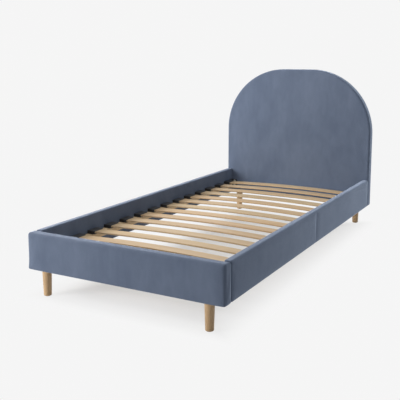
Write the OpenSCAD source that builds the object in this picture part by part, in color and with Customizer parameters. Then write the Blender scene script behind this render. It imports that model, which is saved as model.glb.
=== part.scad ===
// Upholstered single bed frame: an arched headboard, a low footboard and two padded side
// rails in velvet over foam and timber, sprung slats in plastic holders, and four tapered
// legs. +X is to the right seen from the foot end, +Y runs towards the headboard and +Z is
// up. The origin is on the floor, under the middle of the frame.

/* [Lying surface] */
// Width of the lying surface that the frame is made for
lying_w = 900; // [800:10:1000]
// Length of the lying surface that the frame is made for
lying_l = 1900; // [1700:10:2100]
// Free space beside the lying surface, on each side
side_play = 5; // [2:1:15]
// Free space past the lying surface, at each end
end_play = 10; // [5:1:30]

/* [Heights] */
// Height of the headboard above the floor
bed_h = 965; // [900:5:1200]
// Clear height under the rails, the height of leg and glide together
under_h = 120; // [90:5:200]
// Height of the side rails and of the footboard
rail_h = 165; // [155:5:220]
// Depth of the ledgers' tops below the top of the rails
well_depth = 90; // [80:1:100]

/* [Headboard] */
// Thickness of the headboard
head_t = 60; // [50:1:80]
// Radius of the two large round corners of the headboard
arch_r = 400; // [200:5:430]
// Rounding of the headboard's front edge
head_edge_r = 12; // [8:1:22]
// Foam in front of the headboard's face board
head_foam = 10; // [8:1:16]
// Width of the ply rib that carries the arch
rib_w = 60; // [40:1:90]
// Width of the cover's turn-in on the back of the headboard
back_wrap = 45; // [35:1:80]
// Margin between the outline and the back cloth
back_cloth_inset = 20; // [12:1:30]
// Thickness of the back cloth
back_cloth_t = 1; // [0.5:0.1:1.5]

/* [Footboard] */
// Thickness of the footboard
foot_t = 60; // [50:1:80]
// Rounding of the footboard's front top edge
foot_top_r = 16; // [8:1:24]
// Rounding of the footboard's front upright edges
foot_corner_r = 14; // [8:1:24]
// Rounding of the footboard's top at its two ends, seen from the front
foot_end_r = 12; // [4:1:16]
// Foam in front of the footboard's face board
foot_foam = 12; // [8:1:16]
// Foam on the top of the footboard's timber
foot_top_foam = 12; // [10:1:18]

/* [Frame timber and boards] */
// Thickness of the velvet cover
cover_t = 1.5; // [1:0.1:2.5]
// Foam round the edges of the head- and footboard
edge_foam = 5; // [4:1:8]
// Rounding of the covers where they turn onto the back
back_edge_r = 4; // [3:0.5:6]
// Thickness of the thin boards under foam and cover
thin_board = 3; // [2.5:0.5:5]
// Height of the bottom rails, which take the legs
bottom_rail_h = 32; // [28:1:36]
// Width of the upright posts
post_w = 60; // [50:1:80]
// Width of the middle stiles
stile_w = 60; // [40:1:90]
// Height of the headboard's middle rail
mid_rail_h = 45; // [35:1:70]
// Height of the footboard's top rail
top_rail_h = 26; // [20:1:30]

/* [Side rails] */
// Thickness of a side rail
rail_t = 35; // [32:1:50]
// Foam on a rail's outer face
rail_foam_out = 8; // [5:1:12]
// Wadding on a rail's inner face
rail_foam_in = 2; // [1:0.5:4]
// Foam on a rail's top edge
rail_foam_top = 8; // [5:1:14]
// Rounding of a rail's outer top edge
rail_top_r = 10; // [4:1:12]
// Gap between a rail's end and the head- or footboard
rail_end_gap = 0.5; // [0.3:0.1:1]
// Depth of the sewn seam at the middle of a rail's cover
seam_depth = 1; // [0.5:0.1:1.2]
// Width of that seam
seam_w = 5; // [3:0.5:8]

/* [Ledgers and slats] */
// Width of the ledgers
ledger_w = 28; // [22:1:36]
// Height of the ledgers
ledger_h = 30; // [24:1:40]
// Number of sprung slats
slat_count = 14; // [10:1:15]
// Width of a slat
slat_w = 63; // [50:1:66]
// Thickness of a slat
slat_t = 8; // [6:0.5:10]
// Rise of a slat's middle above its ends
slat_bow = 12; // [4:1:20]
// Rounding of a slat's long edges
slat_edge_r = 3; // [1:0.5:3.5]
// Length of a slat holder, across the bed
holder_l = 42; // [34:1:50]
// Wall of a slat holder
holder_wall = 3; // [2:0.5:4]
// Play of a slat in its holder, all round
pocket_play = 0.3; // [0.2:0.1:0.8]
// Diameter of a holder's peg
peg_d = 9; // [6:0.5:12]
// Length of a holder's peg
peg_l = 12; // [8:1:16]

/* [Legs] */
// Diameter at the top of a leg
leg_top_d = 42; // [34:1:52]
// Diameter at the foot of a leg
leg_foot_d = 35; // [28:1:44]
// Distance from the side of the bed to a leg's axis
leg_side_inset = 82; // [60:1:120]
// Distance from the end of the bed to a leg's axis
leg_end_inset = 35; // [31:1:38]
// Diameter of a glide
glide_d = 24; // [16:1:27]
// Height of a glide under its leg
glide_h = 2; // [1.5:0.5:5]
// Depth of the hanger bolt in a leg
hanger_depth = 45; // [30:1:60]

/* [Corner brackets and bolts] */
// Height of a bracket
bracket_h = 60; // [54:1:64]
// Length of a bracket's flange along the rail
bracket_rail_l = 50; // [44:1:60]
// Length of a bracket's flange along the head- or footboard
bracket_board_l = 40; // [36:1:50]
// Thickness of the bracket's steel
bracket_t = 3; // [2:0.5:4]
// Height of a bracket above the bottom of the rails
bracket_lift = 32; // [30:1:36]
// Distance between the two bolts of a flange
bolt_pitch = 30; // [26:1:34]
// Diameter of the bolts
bolt_d = 8; // [6:1:8]
// Diameter of a bolt's head
bolt_head_d = 16; // [14:0.5:18]
// Height of a bolt's head
bolt_head_h = 4; // [3:0.5:5]
// Diameter of a washer
washer_d = 20; // [18:0.5:22]
// Thickness of a washer
washer_t = 1.5; // [1:0.1:2]
// Diameter of a T-nut's flange
nut_flange_d = 22; // [18:0.5:24]
// Thickness of a T-nut's flange
nut_flange_t = 1.5; // [1:0.1:2]
// Diameter of a T-nut's barrel
nut_barrel_d = 10; // [9.5:0.1:12]
// Length of a T-nut's barrel
nut_barrel_l = 9; // [6:1:12]
// Length of a T-nut's prongs
prong_l = 6; // [4:0.5:8]
// Diameter of the ledger screws
screw_d = 5; // [4:0.5:6]
// Length of the ledger screws
screw_l = 45; // [42:1:48]
// Clearance round what is pressed or screwed in
fit_gap = 0.1; // [0.05:0.05:0.3]
// Clearance round a bolt in a through hole
hole_gap = 0.5; // [0.3:0.1:1]

/* [Hidden] */
function slat_name(number) = str("slat_", number < 10 ? "0" : "", number);

velvet = [0.41, 0.45, 0.52];
foam = [0.93, 0.88, 0.66];
pine = [0.85, 0.71, 0.50];
ply = [0.80, 0.65, 0.45];
oak = [0.71, 0.58, 0.43];
birch = [0.90, 0.79, 0.60];
back_cloth = [0.13, 0.13, 0.14];
plastic = [0.10, 0.10, 0.11];
black_steel = [0.16, 0.16, 0.17];
zinc = [0.74, 0.74, 0.72];

// Facets of round things: large ones, rounded edges and small round parts
arc_fn = 180;
edge_fn = 48;
round_fn = 64;
// Facets of a full circle of a slat's bow, of which a slat uses a few degrees
bow_fn = 1440;
// How far a cutting solid reaches past the face that it cuts
past = 1;

// Plan of the frame
bed_w = lying_w + 2 * side_play + 2 * rail_t;
bed_l = lying_l + 2 * end_play + head_t + foot_t;
foot_front = -bed_l / 2;
foot_back = foot_front + foot_t;
head_back = bed_l / 2;
head_front = head_back - head_t;
well_half_w = bed_w / 2 - rail_t;
rail_front = foot_back + rail_end_gap;
rail_back = head_front - rail_end_gap;
rail_l = rail_back - rail_front;
rail_mid = (rail_front + rail_back) / 2;
rail_top = under_h + rail_h;

// Layers of the head- and footboard, from the front face backwards
layer_bottom = under_h + cover_t;
frame_inset = cover_t + edge_foam;
frame_half_w = bed_w / 2 - frame_inset;
head_board_front = head_front + cover_t + head_foam;
head_frame_front = head_board_front + thin_board;
head_cover_back = head_back - back_cloth_t;
head_frame_back = head_cover_back - cover_t;
foot_board_front = foot_front + cover_t + foot_foam;
foot_frame_front = foot_board_front + thin_board;
foot_inner_face = foot_back - cover_t;
foot_frame_back = foot_inner_face - thin_board;
foot_frame_top = rail_top - cover_t - foot_top_foam;
post_bottom = layer_bottom + bottom_rail_h;
foot_post_top = foot_frame_top - top_rail_h;
foot_back_top_r = min(foot_end_r, foot_top_foam);

// The arch: two round corners with a straight stretch between them
least_half_flat = 10;
corner_r = min(arch_r, bed_w / 2 - least_half_flat);
arch_flat = bed_w - 2 * corner_r;
spring_z = bed_h - corner_r;

// Side rails and ledgers
board_inner = well_half_w + cover_t + rail_foam_in;
board_outer = bed_w / 2 - cover_t - rail_foam_out;
board_t = board_outer - board_inner;
board_top = rail_top - cover_t - rail_foam_top;
rail_back_top_r = 6;
bottom_rounding = 3;
rail_bottom_r = min(bottom_rounding, cover_t + rail_foam_in);
ledger_top = rail_top - well_depth;
ledger_gap = 5;
ledger_front = foot_back + bracket_rail_l + ledger_gap;
ledger_back = head_front - bracket_rail_l - ledger_gap;
ledger_x = well_half_w - ledger_w / 2;
ledger_chamfer = 2;

// Slats: each is bent to one radius, with its ends in pockets of the same curve
slat_end_gap = 0.5;
slat_half_l = well_half_w - holder_wall - slat_end_gap;
bow_r = slat_half_l * slat_half_l / (2 * slat_bow) + slat_bow / 2;
bow_angle = 2 * asin(slat_half_l / bow_r);
slat_end_z = ledger_top + holder_wall + pocket_play;
bow_z = slat_end_z - sqrt(bow_r * bow_r - slat_half_l * slat_half_l);
holder_w = slat_w + 2 * (holder_wall + pocket_play);
holder_mouth_x = well_half_w - holder_l;
mouth_z = bow_z + sqrt(pow(bow_r + slat_t, 2) - holder_mouth_x * holder_mouth_x);
holder_h = mouth_z + pocket_play + holder_wall - ledger_top;
holder_corner_r = 5;
holder_end_gap = 2;
slat_first = ledger_front + holder_end_gap + holder_w / 2;
slat_last = ledger_back - holder_end_gap - holder_w / 2;
slat_pitch = (slat_last - slat_first) / (slat_count - 1);

// Legs and fixings
leg_x = bed_w / 2 - leg_side_inset;
leg_foot_chamfer = 2;
glide_edge_r = 0.5;
nail_d = 3;
nail_l = 14;
// How much deeper a blind bore is than what sits in it
bore_end_gap = 1;
bracket_z = under_h + bracket_lift;
bracket_outer_r = 6;
bracket_inner_r = bracket_outer_r - bracket_t;
bracket_corner_r = 7;
bolt_mid_z = bracket_z + bracket_h / 2;
bolt_heights = [bolt_mid_z - bolt_pitch / 2, bolt_mid_z + bolt_pitch / 2];
board_bolt_x = 20;
rail_bolt_y = 27;
rail_grip = cover_t + rail_foam_in + board_t;
head_grip = head_frame_back - head_front;
foot_grip = foot_back - foot_frame_front;
leg_grip = cover_t + bottom_rail_h;
hex_across = 5;
prong_w = 3.5;
prong_t = 1;
prong_rim = 0.3;
screw_head_d = 2 * screw_d;
screw_z = ledger_top - ledger_h / 2;

// What a rounding of radius r takes off a square corner that is at the origin, with the
// material towards -x and +y
module corner_cut(r) {
    if (r > 0)
        difference() {
            translate([-r, -past])
                square([r + past, r + past]);
            translate([-r, r])
                circle(r, $fn = edge_fn);
        }
}

// Half section of a padded panel: from the middle out to its edge at x = reach, and from the
// front face at y = 0 to the back
module edge_section(reach, depth, front_r, back_r) {
    difference() {
        square([reach, depth]);
        translate([reach, 0])
            corner_cut(front_r);
        translate([reach, depth])
            mirror([0, 1])
                corner_cut(back_r);
    }
}

// Both halves of something that is drawn for +x
module both_sides() {
    children();
    mirror([1, 0, 0])
        children();
}

// A square-cornered block between two corner points
module block(low, high) {
    translate(low)
        cube(high - low);
}

// The headboard's form at a distance inside its outline: straight sides up to the spring
// line, two quarter turns of the edge section, and a straight top
module arch_slab(inset, front, back, bottom, front_r = 0, back_r = 0) {
    depth = back - front;
    radius = corner_r - inset;
    half_w = bed_w / 2 - inset;
    translate([0, front, 0]) {
        if (bottom < spring_z)
            translate([0, 0, bottom])
                linear_extrude(spring_z - bottom)
                    both_sides()
                        edge_section(half_w, depth, front_r, back_r);
        both_sides()
            translate([arch_flat / 2, 0, spring_z])
                rotate([-90, 0, 0])
                    rotate([0, 0, -90])
                        rotate_extrude(angle = 90, $fn = arc_fn)
                            edge_section(radius, depth, front_r, back_r);
        translate([0, 0, spring_z])
            rotate([0, -90, 0])
                linear_extrude(arch_flat, center = true)
                    edge_section(radius, depth, front_r, back_r);
    }
}

// The footboard's form at a distance inside its outline: the plan, the end view and the
// front view, each with its own rounded corners, where all three meet
module foot_slab(inset) {
    front = foot_front + inset;
    depth = foot_t - 2 * inset;
    bottom = under_h + inset;
    height = rail_h - 2 * inset;
    half_w = bed_w / 2 - inset;
    back_r = back_edge_r - inset;
    intersection() {
        translate([0, front, bottom])
            linear_extrude(height)
                both_sides()
                    edge_section(half_w, depth, foot_corner_r - inset, back_r);
        translate([0, front, bottom])
            rotate([0, -90, 0])
                linear_extrude(2 * half_w, center = true)
                    edge_section(height, depth, foot_top_r - inset, foot_back_top_r - inset);
        translate([0, front + depth, bottom])
            rotate([90, 0, 0])
                linear_extrude(depth)
                    both_sides()
                        edge_section(half_w, height, 0, foot_end_r - inset);
    }
}

// Section of a side rail at a distance inside its faces: x from the inner face outwards, y up
module rail_section(inset) {
    width = rail_t - 2 * inset;
    height = rail_h - 2 * inset;
    translate([inset, inset])
        difference() {
            square([width, height]);
            translate([width, height])
                mirror([0, 1])
                    corner_cut(rail_top_r - inset);
            translate([0, height])
                mirror([1, 0])
                    mirror([0, 1])
                        corner_cut(rail_back_top_r - inset);
            translate([width, 0])
                corner_cut(rail_bottom_r - inset);
            mirror([1, 0])
                corner_cut(rail_bottom_r - inset);
        }
}

// The right-hand rail's form at a distance inside its faces
module rail_slab(inset) {
    translate([well_half_w, rail_back - inset, under_h])
        rotate([90, 0, 0])
            linear_extrude(rail_l - 2 * inset)
                rail_section(inset);
}

// Places something drawn for the right-hand side: side is 1 for right and -1 for left
module on_side(side) {
    mirror([side < 0 ? 1 : 0, 0, 0])
        children();
}

// Places something drawn at an inner corner of the frame. Its own +x runs out through the
// side rail and +y out through the head- or footboard; end is 1 for head and -1 for foot
module inner_corner(side, end) {
    on_side(side)
        translate([well_half_w, end > 0 ? head_front : foot_back, 0])
            mirror([0, end < 0 ? 1 : 0, 0])
                children();
}

// Draws its children at all four inner corners
module four_corners() {
    for (side = [-1, 1])
        for (end = [-1, 1])
            inner_corner(side, end)
                children();
}

// Turns something drawn along +z to run along +x, or along +y
module along_x() {
    rotate([0, 90, 0])
        children();
}

module along_y() {
    rotate([-90, 0, 0])
        children();
}

// Bolt with a flat round head below z = 0, a hexagon socket and its shank up to z = length
module socket_bolt(length) {
    rim = 1;
    difference() {
        union() {
            rotate_extrude($fn = round_fn)
                translate([0, -bolt_head_h])
                    edge_section(bolt_head_d / 2, bolt_head_h, rim, 0);
            cylinder(d = bolt_d, h = length, $fn = round_fn);
        }
        translate([0, 0, -bolt_head_h - past])
            cylinder(d = hex_across / cos(30), h = bolt_head_h - 1 + past, $fn = 6);
    }
}

// Washer between z = 0 and z = its thickness
module washer() {
    difference() {
        cylinder(d = washer_d, h = washer_t, $fn = round_fn);
        translate([0, 0, -past])
            cylinder(d = bolt_d + 2 * hole_gap, h = washer_t + 2 * past, $fn = round_fn);
    }
}

// The four pointed prongs of a T-nut, bent down from its flange near the rim, or with a gap
// the slots for them
module prongs(gap = 0) {
    half_w = prong_w / 2;
    for (turn = [45:90:315])
        rotate(turn)
            translate([nut_flange_d / 2 - prong_rim - prong_t - gap, 0, -nut_flange_t])
                rotate([90, 0, 90])
                    linear_extrude(prong_t + 2 * gap)
                        offset(delta = gap)
                            polygon([[-half_w, nut_flange_t / 2], [half_w, nut_flange_t / 2],
                                [half_w, -prong_l / 2], [0, -prong_l],
                                [-half_w, -prong_l / 2]]);
}

// T-nut whose flange is flush with a timber face at z = 0 and whose barrel points down
module t_nut() {
    difference() {
        union() {
            translate([0, 0, -nut_flange_t])
                cylinder(d = nut_flange_d, h = nut_flange_t, $fn = round_fn);
            translate([0, 0, -nut_flange_t - nut_barrel_l])
                cylinder(d = nut_barrel_d, h = nut_barrel_l, $fn = round_fn);
            prongs();
        }
        translate([0, 0, -nut_flange_t - nut_barrel_l - past])
            cylinder(d = bolt_d + 2 * fit_gap, h = nut_flange_t + nut_barrel_l + 2 * past,
                $fn = round_fn);
    }
}

// Hole for a bolt from z = 0 through everything up to its T-nut's flange at z = grip
module bolt_hole(grip) {
    translate([0, 0, -past])
        cylinder(d = bolt_d + 2 * hole_gap, h = grip + past, $fn = round_fn);
    translate([0, 0, grip - nut_flange_t - nut_barrel_l - fit_gap])
        cylinder(d = nut_barrel_d + 2 * fit_gap, h = nut_barrel_l + 2 * fit_gap,
            $fn = round_fn);
    translate([0, 0, grip - nut_flange_t - fit_gap])
        cylinder(d = nut_flange_d + 2 * fit_gap, h = nut_flange_t + fit_gap, $fn = round_fn);
    translate([0, 0, grip])
        prongs(fit_gap);
}

// Bolt holes through the headboard or, with end = -1, the footboard
module board_bolt_holes(end) {
    for (side = [-1, 1])
        inner_corner(side, end)
            for (z = bolt_heights)
                translate([-board_bolt_x, 0, z])
                    along_y()
                        bolt_hole(end > 0 ? head_grip : foot_grip);
}

// Bolt holes through the right-hand rail
module rail_bolt_holes() {
    for (end = [-1, 1])
        inner_corner(1, end)
            for (z = bolt_heights)
                translate([0, -rail_bolt_y, z])
                    along_x()
                        bolt_hole(rail_grip);
}

// Position of a leg's axis along the bed
function leg_y(end) = end * (bed_l / 2 - leg_end_inset);

// Holes for the leg bolts at one end of the bed
module leg_bolt_holes(end) {
    for (side = [-1, 1])
        translate([side * leg_x, leg_y(end), under_h])
            bolt_hole(leg_grip);
}

// All holes in the timber, boards, foam and cover of one end of the bed
module end_holes(end) {
    board_bolt_holes(end);
    leg_bolt_holes(end);
}

// Position of a slat along the bed
function slat_y(number) = slat_first + (number - 1) * slat_pitch;

// Positions of the ledger screws: half-way between every second pair of slats
screw_places = [for (number = [1:2:slat_count - 1]) slat_y(number) + slat_pitch / 2];

// Countersunk screw pointing along +z, with its head flush at z = 0
module countersunk_screw(gap = 0) {
    head_r = screw_head_d / 2 + gap;
    shank_r = screw_d / 2 + gap;
    tip = screw_l + gap;
    rotate_extrude($fn = round_fn)
        polygon([[0, 0], [head_r, 0], [shank_r, head_r - shank_r],
            [shank_r, tip - shank_r], [0, tip]]);
}

// The right-hand ledger's screws, or the holes for them
module ledger_screw_row(gap = 0) {
    for (y = screw_places)
        translate([well_half_w - ledger_w, y, screw_z])
            along_x()
                countersunk_screw(gap);
}

module headboard_cover() {
    color(velvet)
        difference() {
            arch_slab(0, head_front, head_cover_back, under_h, head_edge_r, back_edge_r);
            arch_slab(cover_t, head_front + cover_t, head_frame_back, layer_bottom,
                head_edge_r - cover_t, back_edge_r - cover_t);
            arch_slab(back_wrap, head_frame_back - past, head_cover_back + past,
                under_h + back_wrap);
            end_holes(1);
        }
}

module headboard_foam() {
    color(foam)
        difference() {
            arch_slab(cover_t, head_front + cover_t, head_frame_back, layer_bottom,
                head_edge_r - cover_t, back_edge_r - cover_t);
            arch_slab(frame_inset, head_board_front, head_frame_back + past,
                layer_bottom - past);
            end_holes(1);
        }
}

module headboard_face_board() {
    color(ply)
        difference() {
            arch_slab(frame_inset, head_board_front, head_frame_front, layer_bottom);
            end_holes(1);
        }
}

module headboard_bottom_rail() {
    color(pine)
        difference() {
            block([-frame_half_w, head_frame_front, layer_bottom],
                [frame_half_w, head_frame_back, post_bottom]);
            end_holes(1);
        }
}

module headboard_post(side) {
    color(pine)
        difference() {
            on_side(side)
                block([frame_half_w - post_w, head_frame_front, post_bottom],
                    [frame_half_w, head_frame_back, spring_z]);
            end_holes(1);
        }
}

module headboard_middle_rail() {
    color(pine)
        block([post_w - frame_half_w, head_frame_front, spring_z - mid_rail_h],
            [frame_half_w - post_w, head_frame_back, spring_z]);
}

module headboard_middle_stile() {
    color(pine)
        block([-stile_w / 2, head_frame_front, post_bottom],
            [stile_w / 2, head_frame_back, spring_z - mid_rail_h]);
}

module headboard_arch_rib() {
    color(ply)
        difference() {
            arch_slab(frame_inset, head_frame_front, head_frame_back, spring_z);
            arch_slab(frame_inset + rib_w, head_frame_front - past, head_frame_back + past,
                spring_z - past);
        }
}

module headboard_back_cloth() {
    color(back_cloth)
        arch_slab(back_cloth_inset, head_cover_back, head_back, under_h + back_cloth_inset);
}

module footboard_cover() {
    color(velvet)
        difference() {
            foot_slab(0);
            foot_slab(cover_t);
            end_holes(-1);
        }
}

module footboard_foam() {
    color(foam)
        difference() {
            foot_slab(cover_t);
            block([-frame_half_w, foot_board_front, layer_bottom - past],
                [frame_half_w, foot_inner_face + past, foot_frame_top]);
            end_holes(-1);
        }
}

module footboard_face_board() {
    color(ply)
        difference() {
            block([-frame_half_w, foot_board_front, layer_bottom],
                [frame_half_w, foot_frame_front, foot_frame_top]);
            end_holes(-1);
        }
}

module footboard_back_board() {
    color(ply)
        difference() {
            block([-frame_half_w, foot_frame_back, layer_bottom],
                [frame_half_w, foot_inner_face, foot_frame_top]);
            end_holes(-1);
        }
}

module footboard_bottom_rail() {
    color(pine)
        difference() {
            block([-frame_half_w, foot_frame_front, layer_bottom],
                [frame_half_w, foot_frame_back, post_bottom]);
            end_holes(-1);
        }
}

module footboard_top_rail() {
    color(pine)
        difference() {
            block([-frame_half_w, foot_frame_front, foot_post_top],
                [frame_half_w, foot_frame_back, foot_frame_top]);
            end_holes(-1);
        }
}

module footboard_post(side) {
    color(pine)
        difference() {
            on_side(side)
                block([frame_half_w - post_w, foot_frame_front, post_bottom],
                    [frame_half_w, foot_frame_back, foot_post_top]);
            end_holes(-1);
        }
}

module footboard_middle_stile() {
    color(pine)
        block([-stile_w / 2, foot_frame_front, post_bottom],
            [stile_w / 2, foot_frame_back, foot_post_top]);
}

// The seam is a V-shaped groove over the outer face and the top of the cover
module rail_seam_groove() {
    groove = [[-seam_w / 2, past], [-seam_w / 2, 0], [0, -seam_depth], [seam_w / 2, 0],
        [seam_w / 2, past]];
    translate([bed_w / 2, rail_mid, under_h - past])
        linear_extrude(rail_h + 2 * past)
            rotate(-90)
                polygon(groove);
    translate([well_half_w - past, rail_mid, rail_top])
        rotate([90, 0, 90])
            linear_extrude(rail_t + 2 * past)
                polygon(groove);
}

module rail_cover(side) {
    color(velvet)
        on_side(side)
            difference() {
                rail_slab(0);
                rail_slab(cover_t);
                rail_seam_groove();
                rail_bolt_holes();
                ledger_screw_row(fit_gap);
            }
}

module rail_foam(side) {
    color(foam)
        on_side(side)
            difference() {
                rail_slab(cover_t);
                block([board_inner, rail_front, layer_bottom - past],
                    [board_outer, rail_back, board_top]);
                rail_bolt_holes();
                ledger_screw_row(fit_gap);
            }
}

module rail_board(side) {
    color(pine)
        on_side(side)
            difference() {
                block([board_inner, rail_front + cover_t, layer_bottom],
                    [board_outer, rail_back - cover_t, board_top]);
                rail_bolt_holes();
                ledger_screw_row(fit_gap);
            }
}

// Planed batten with its two inner long edges chamfered and a hole for each holder's peg
module ledger(side) {
    inner = well_half_w - ledger_w;
    bottom = ledger_top - ledger_h;
    color(pine)
        on_side(side)
            difference() {
                translate([0, ledger_back, 0])
                    rotate([90, 0, 0])
                        linear_extrude(ledger_back - ledger_front)
                            polygon([[inner + ledger_chamfer, bottom], [well_half_w, bottom],
                                [well_half_w, ledger_top], [inner + ledger_chamfer, ledger_top],
                                [inner, ledger_top - ledger_chamfer],
                                [inner, bottom + ledger_chamfer]]);
                for (number = [1:slat_count])
                    translate([ledger_x, slat_y(number), ledger_top - peg_l - bore_end_gap])
                        cylinder(d = peg_d + 2 * fit_gap, h = peg_l + bore_end_gap + past,
                            $fn = round_fn);
                ledger_screw_row(fit_gap);
            }
}

// A bent slat: its section, grown by a gap, turned about a far axis that runs along the bed
module bent_slat(number, gap = 0, extra_angle = 0) {
    width = slat_w + 2 * gap;
    thick = slat_t + 2 * gap;
    sweep = bow_angle + extra_angle;
    translate([0, slat_y(number) - width / 2, bow_z])
        rotate([-90, 0, 0])
            rotate([0, 0, -90 - sweep / 2])
                rotate_extrude(angle = sweep, $fn = bow_fn)
                    translate([bow_r - gap, 0])
                        slat_section(thick, width);
}

module slat_section(thick, width) {
    difference() {
        square([thick, width]);
        translate([thick, 0])
            corner_cut(slat_edge_r);
        translate([thick, width])
            mirror([0, 1])
                corner_cut(slat_edge_r);
        mirror([1, 0])
            corner_cut(slat_edge_r);
        translate([0, width])
            mirror([1, 0])
                mirror([0, 1])
                    corner_cut(slat_edge_r);
    }
}

module slat(number) {
    color(birch)
        bent_slat(number);
}

// Plastic pocket with rounded corners, open towards the middle of the bed, and a peg below
module slat_holder(number) {
    translate([well_half_w, slat_y(number), ledger_top]) {
        intersection() {
            translate([-holder_l, -holder_w / 2, 0])
                linear_extrude(holder_h)
                    difference() {
                        square([holder_l, holder_w]);
                        mirror([1, 0])
                            corner_cut(holder_corner_r);
                        translate([0, holder_w])
                            mirror([1, 0])
                                mirror([0, 1])
                                    corner_cut(holder_corner_r);
                    }
            translate([0, holder_w / 2, 0])
                rotate([90, 0, 0])
                    linear_extrude(holder_w)
                        mirror([1, 0])
                            edge_section(holder_l, holder_h, 0, holder_wall);
        }
        translate([-ledger_w / 2, 0, -peg_l])
            cylinder(d = peg_d, h = peg_l + past, $fn = round_fn);
    }
}

module slat_holders(side) {
    pocket_angle = 1;
    color(plastic)
        on_side(side)
            difference() {
                for (number = [1:slat_count])
                    slat_holder(number);
                intersection() {
                    for (number = [1:slat_count])
                        bent_slat(number, pocket_play, pocket_angle);
                    block([0, foot_back, ledger_top],
                        [slat_half_l + slat_end_gap, head_front, rail_top]);
                }
            }
}

// Turned leg, narrower at the foot, with a bore for its bolt and one for the glide's nail
module leg(side, end) {
    length = under_h - glide_h;
    color(oak)
        translate([side * leg_x, leg_y(end), glide_h])
            difference() {
                rotate_extrude($fn = round_fn)
                    polygon([[0, 0], [leg_foot_d / 2 - leg_foot_chamfer, 0],
                        [leg_foot_d / 2, leg_foot_chamfer], [leg_top_d / 2, length],
                        [0, length]]);
                translate([0, 0, length - hanger_depth - bore_end_gap])
                    cylinder(d = bolt_d + 2 * fit_gap, h = hanger_depth + bore_end_gap + past,
                        $fn = round_fn);
                translate([0, 0, -past])
                    cylinder(d = nail_d + 2 * fit_gap, h = nail_l + bore_end_gap + past,
                        $fn = round_fn);
            }
}

module leg_glides() {
    color(plastic)
        for (side = [-1, 1])
            for (end = [-1, 1])
                translate([side * leg_x, leg_y(end), 0]) {
                    rotate_extrude($fn = round_fn)
                        edge_section(glide_d / 2, glide_h, glide_edge_r, 0);
                    cylinder(d = nail_d, h = glide_h + nail_l, $fn = round_fn);
                }
}

module leg_bolts() {
    color(zinc)
        for (side = [-1, 1])
            for (end = [-1, 1])
                translate([side * leg_x, leg_y(end), under_h - hanger_depth])
                    cylinder(d = bolt_d, h = hanger_depth + leg_grip, $fn = round_fn);
}

// Steel angle: one flange on the rail's inner face, the other on the head- or footboard
module bracket(side, end) {
    color(black_steel)
        inner_corner(side, end)
            difference() {
                intersection() {
                    translate([0, 0, bracket_z])
                        linear_extrude(bracket_h)
                            bracket_plan();
                    union() {
                        bracket_flange(bracket_board_l);
                        mirror([1, -1, 0])
                            bracket_flange(bracket_rail_l);
                    }
                }
                for (z = bolt_heights) {
                    translate([-board_bolt_x, -2 * bracket_t, z])
                        along_y()
                            cylinder(d = bolt_d + 2 * hole_gap, h = 3 * bracket_t,
                                $fn = round_fn);
                    translate([-2 * bracket_t, -rail_bolt_y, z])
                        along_x()
                            cylinder(d = bolt_d + 2 * hole_gap, h = 3 * bracket_t,
                                $fn = round_fn);
                }
            }
}

// Plan of a bracket with a rounded bend at the corner
module bracket_plan() {
    difference() {
        translate([-bracket_board_l, -bracket_rail_l])
            square([bracket_board_l, bracket_rail_l]);
        mirror([0, 1])
            corner_cut(bracket_outer_r);
        difference() {
            translate([-bracket_board_l - past, -bracket_rail_l - past])
                square([bracket_board_l - bracket_t + past, bracket_rail_l - bracket_t + past]);
            translate([-bracket_t, -bracket_t])
                mirror([0, 1])
                    corner_cut(bracket_inner_r);
        }
    }
}

// Outline of a flange with its two free corners rounded, as thick as the bend needs
module bracket_flange(length) {
    half_h = bracket_h / 2;
    translate([0, past, bracket_z + half_h])
        rotate([90, 0, 0])
            linear_extrude(bracket_outer_r + past)
                rotate(90)
                    both_sides()
                        edge_section(half_h, length, 0, bracket_corner_r);
}

module board_bolts() {
    color(zinc)
        for (side = [-1, 1])
            for (end = [-1, 1])
                inner_corner(side, end)
                    for (z = bolt_heights)
                        translate([-board_bolt_x, -bracket_t - washer_t, z])
                            along_y()
                                socket_bolt(bracket_t + washer_t
                                    + (end > 0 ? head_grip : foot_grip));
}

module rail_bolts() {
    color(zinc)
        four_corners()
            for (z = bolt_heights)
                translate([-bracket_t - washer_t, -rail_bolt_y, z])
                    along_x()
                        socket_bolt(bracket_t + washer_t + rail_grip);
}

module bolt_washers() {
    color(zinc)
        four_corners()
            for (z = bolt_heights) {
                translate([-board_bolt_x, -bracket_t - washer_t, z])
                    along_y()
                        washer();
                translate([-bracket_t - washer_t, -rail_bolt_y, z])
                    along_x()
                        washer();
            }
}

module t_nuts() {
    color(zinc) {
        for (side = [-1, 1])
            for (end = [-1, 1]) {
                inner_corner(side, end)
                    for (z = bolt_heights) {
                        translate([-board_bolt_x, end > 0 ? head_grip : foot_grip, z])
                            along_y()
                                t_nut();
                        translate([rail_grip, -rail_bolt_y, z])
                            along_x()
                                t_nut();
                    }
                translate([side * leg_x, leg_y(end), under_h + leg_grip])
                    t_nut();
            }
    }
}

module ledger_screws() {
    color(zinc)
        both_sides()
            ledger_screw_row();
}

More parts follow.
